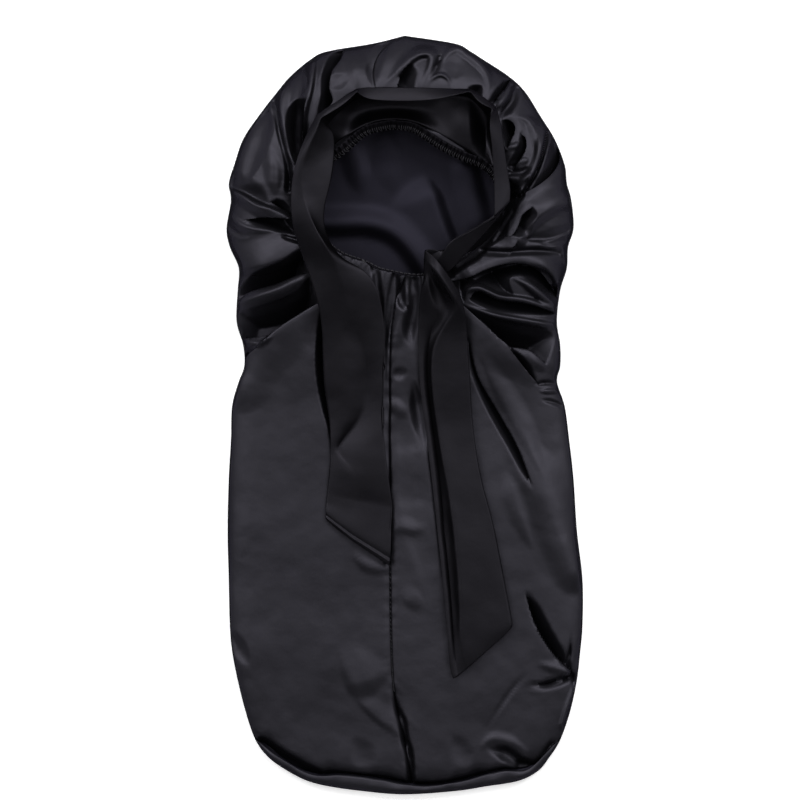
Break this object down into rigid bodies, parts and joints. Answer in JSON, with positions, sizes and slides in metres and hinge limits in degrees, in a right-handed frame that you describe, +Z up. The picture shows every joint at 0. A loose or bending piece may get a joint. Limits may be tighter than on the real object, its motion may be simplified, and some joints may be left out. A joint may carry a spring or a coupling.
{
  "type": "braid bonnet",
  "caption": "Long satin bonnet for braided hair, lying on its back: gathered crown, folded band round the open face with flat ties, and a long closed bag.",
  "frame": {"origin": "on the surface that the bonnet lies on, under the middle of its outline", "axes": "+Y from the foot of the bag to the crown, +Z up out of the face opening, +X to the right as seen from above"},
  "size_m": [0.3203, 0.682, 0.068],
  "materials": {
    "satin": "black polyester satin, smooth and softly glossy, with a faint cool tint in its lights",
    "overlock": "ruffled elastic seam, covered by close overlock stitches in matt black thread",
    "band": "black satin strip, pressed flat, its duller side out, with stitched edges"
  },
  "bodies": {
    "root": {"back_panel": "satin", "front_panel_left": "satin", "front_panel_right": "satin", "opening_seam": "overlock", "tie_band": "band"}
  },
  "joints": []
}
